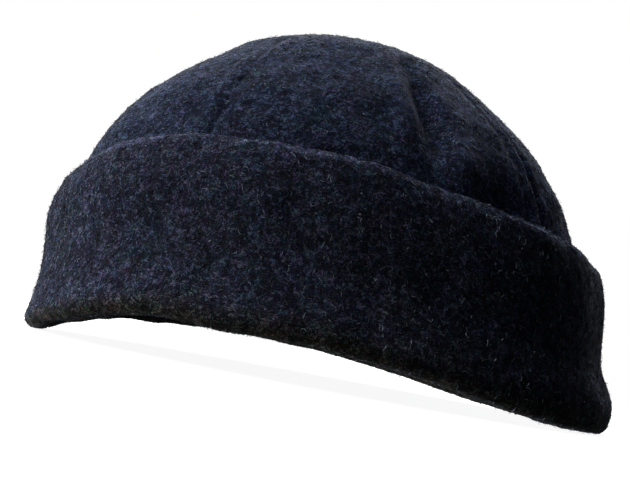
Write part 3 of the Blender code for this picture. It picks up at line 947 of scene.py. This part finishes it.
def wool_fibres(name, grids, count, seed):
    """Scatter, curl and join fibres over some faces of the cap."""
    draw = np.random.default_rng(seed)
    place, normal, area = scatter(grids, count, draw)
    length = np.clip(SHORTEST * np.exp(draw.normal(*GROWTH, count)), SHORTEST, LONGEST)
    curl = draw.normal(0, CURL_SPREAD, count)
    lift = draw.uniform(*LIFT, count)
    stand = np.where(draw.random(count) < STANDING_SHARE, draw.uniform(*STAND, count), 0)
    radius = draw.uniform(*RADIUS, count)
    tone = draw.random(count)
    radius = radius + BRIGHT_EXTRA * np.clip((tone - BRIGHT_FROM) / (1 - BRIGHT_FROM), 0, 1)
    heading = curl[:, None] * np.linspace(-0.5, 0.5, CURL_POINTS)
    heading = heading + WANDER * draw.normal(size=(count, CURL_POINTS))
    paths = curls(place, normal, draw.normal(size=(count, 3)), length, heading, lift, stand)
    print(name, "cover", round(1e4 * area), "cm2")
    return fibre_object(name, paths, normal, radius, tone, fibre_wool)


crown_fibres = [wool_fibres("crown_fibres_1", crown_skins, FIBRES_A_PIECE, seed=21),
                wool_fibres("crown_fibres_2", crown_skins, CROWN_EXTRA, seed=24)]
cuff_fibres = [wool_fibres("cuff_fibres_1", [cuff_skin], FIBRES_A_PIECE, seed=22),
               wool_fibres("cuff_fibres_2", [cuff_skin], FIBRES_A_PIECE, seed=23)]

# %% [markdown]
# ## Stray pale fibres
# A few pale fibres have worked loose from the cuff's felt and catch the eye. A table places each: round
# the oval and up, with its length, its heading from level and how far it curls.

# %% Stray fibres
STRAYS = [
    # angle (degrees), height and length (mm), heading and curl (degrees)
    (-60.9, 63.6, 3.0, 100.0, 60.0),
    (-60.5, 64.8, 2.6, 150.0, -50.0),
    (-61.5, 64.6, 2.4, 40.0, 40.0),
    (-60.3, 61.6, 2.2, -70.0, 90.0),
    (-108.1, 62.5, 5.0, 70.0, 290.0),
    (-107.7, 60.2, 4.0, 20.0, -250.0),
    (-105.7, 63.8, 4.2, 120.0, 220.0),
    (-105.0, 61.4, 3.6, -30.0, 240.0),
    (-92.1, 66.0, 2.6, 50.0, 120.0),
    (-91.7, 65.2, 2.2, 130.0, -60.0),
    (-92.6, 64.8, 2.0, -20.0, 90.0),
    (-93.2, 20.8, 0.9, 20.0, 30.0),
    (-90.4, 44.5, 3.6, 76.0, 12.0),
    (-91.2, 35.0, 3.0, 78.0, -14.0),
]
STRAY_RADIUS = 0.00011
STRAY_LIFT = 0.0003
STRAY_TONE = 0.985


def stray_fibres(name):
    """Lay the table's fibres on the cuff's outside: each starts from the nearest point of its grid."""
    table = np.array(STRAYS)
    column = np.round(np.radians(table[:, 0]) / (2 * math.pi) * CUFF_COLUMNS).astype(int) % CUFF_COLUMNS
    shown = cuff_grid[shown_from:last_shown]
    row = np.abs(shown[:, column, 2] - table[:, 1] / 1000).argmin(axis=0)
    place = shown[row, column]
    turned = np.radians(table[:, 0])
    normal = outward(turned)
    side = np.stack([-normal[:, 1], normal[:, 0], 0 * turned], -1)
    heading = np.radians(table[:, 3:4] + table[:, 4:5] * np.linspace(-0.5, 0.5, CURL_POINTS))
    lift, radius, tone = (np.full(len(table), v) for v in (STRAY_LIFT, STRAY_RADIUS, STRAY_TONE))
    paths = curls(place, normal, side, table[:, 2] / 1000, heading, lift, 0 * lift)
    return fibre_object(name, paths, normal, radius, tone, fibre_wool)


strays = stray_fibres("cuff_stray_fibres")

# %% [markdown]
# ## Join the pieces to the frame
# Every piece rides on the cap's one body. Each gore and the cuff stand for their plain solid.

# %% Ride and replace
for number, gore in enumerate(gores, start=1):
    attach(gore, "root")
    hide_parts(f"crown_panel_{number}")
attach(cuff, "root")
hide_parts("cuff")
for piece in crown_fibres:
    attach(piece, "root")
for piece in (*cuff_fibres, strays):
    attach(piece, "root")
